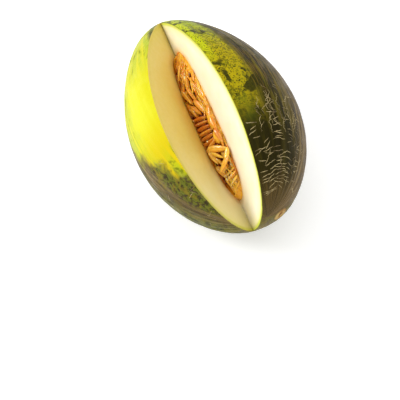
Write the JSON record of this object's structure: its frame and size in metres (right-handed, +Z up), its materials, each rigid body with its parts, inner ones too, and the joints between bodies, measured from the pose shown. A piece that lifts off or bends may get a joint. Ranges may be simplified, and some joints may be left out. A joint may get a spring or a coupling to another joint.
{
  "type": "melon",
  "caption": "Ripe oval melon lying on its side with a wedge cut out along its length, showing pale flesh, soft orange pulp and loose seeds.",
  "frame": {"origin": "on the ground, below the middle of the fruit's length and width", "axes": "+X along the fruit from the blossom end to the stem end, +Z up; the wedge opens upwards and leans towards -Y"},
  "size_m": [0.2, 0.1316, 0.1302],
  "materials": {
    "rind_and_flesh": "waxy rind, wet cut flesh",
    "seed_pulp": "wet",
    "seed": "wet"
  },
  "bodies": {
    "root": {"melon_body": "rind_and_flesh", "seed_pulp": "seed_pulp", "seed_01": "seed", "seed_02": "seed", "seed_03": "seed", "seed_04": "seed", "seed_05": "seed", "seed_06": "seed", "seed_07": "seed", "seed_08": "seed", "seed_09": "seed", "seed_10": "seed", "seed_11": "seed", "seed_12": "seed", "seed_13": "seed", "seed_14": "seed", "seed_15": "seed", "seed_16": "seed", "seed_17": "seed", "seed_18": "seed", "seed_19": "seed", "seed_20": "seed", "seed_21": "seed", "seed_22": "seed", "seed_23": "seed", "seed_24": "seed", "seed_25": "seed", "seed_26": "seed", "seed_27": "seed", "seed_28": "seed", "seed_29": "seed", "seed_30": "seed", "seed_31": "seed", "seed_32": "seed", "seed_33": "seed", "seed_34": "seed", "seed_35": "seed", "seed_36": "seed", "seed_37": "seed", "seed_38": "seed", "seed_39": "seed", "seed_40": "seed"}
  },
  "joints": []
}
